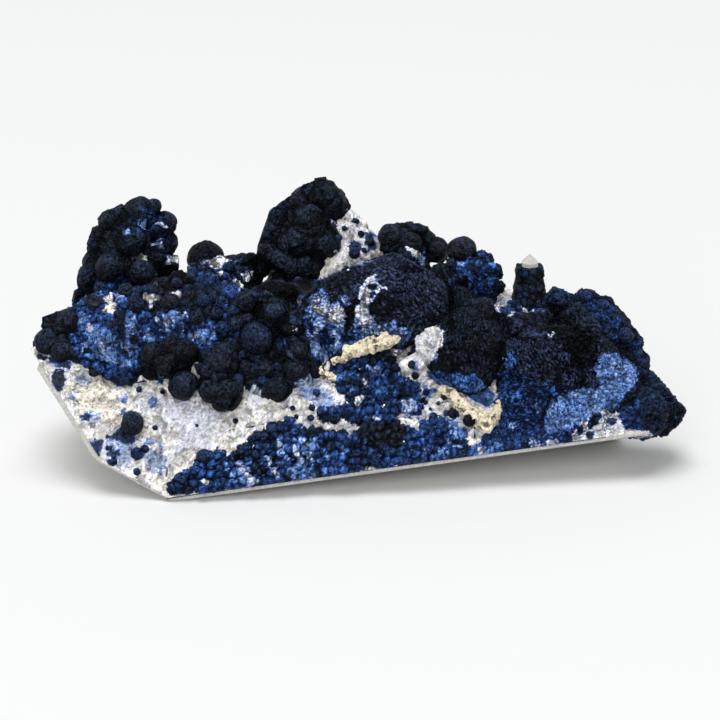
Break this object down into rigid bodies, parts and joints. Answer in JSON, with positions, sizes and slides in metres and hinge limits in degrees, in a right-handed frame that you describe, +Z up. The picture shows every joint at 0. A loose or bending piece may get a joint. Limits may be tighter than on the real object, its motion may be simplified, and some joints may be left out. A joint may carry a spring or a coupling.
{
  "type": "blueberry fluorite on quartz",
  "caption": "Mineral specimen: dark blue botryoidal fluorite towers, domes and balls grown on a block of white drusy quartz, sawn flat to stand.",
  "frame": {"origin": "on the flat sawn base that the specimen stands on, about midway along it, 40 mm behind the front corner", "axes": "+X to the right of the display side, along the specimen's length; +Y from the display side to the broken back; +Z up, out of the base"},
  "size_m": [0.2204, 0.086, 0.0916],
  "materials": {
    "quartz_druse": "fine white quartz druse, matt with a sparkle, pale grey where it is sawn",
    "night_fluorite": "blue-black fluorite, finely granular and satin",
    "blue_fluorite": "sugary medium-blue fluorite with paler crystal faces",
    "navy_fluorite": "navy fluorite, small knobs with a dull lustre",
    "cream_crust": "warm cream mineral crust, porous and matt",
    "clear_quartz": "bare quartz crystal, smoky clear and glossy"
  },
  "bodies": {
    "root": {"quartz_block": "quartz_druse", "great_dome": "night_fluorite", "right_domes": "night_fluorite", "rear_dome": "night_fluorite", "centre_tower": "night_fluorite", "centre_cluster": "night_fluorite", "left_tower": "night_fluorite", "left_mounds": "blue_fluorite", "sugar_ball": "navy_fluorite", "twin_ball": "night_fluorite", "rear_ball": "night_fluorite", "hazy_ball": "night_fluorite", "low_ball": "night_fluorite", "lone_ball": "night_fluorite", "front_crust": "navy_fluorite", "corner_crust": "navy_fluorite", "long_cream_ridge": "cream_crust", "forked_cream_ridge": "cream_crust", "point_sleeve": "navy_fluorite", "quartz_point": "clear_quartz"}
  },
  "joints": []
}
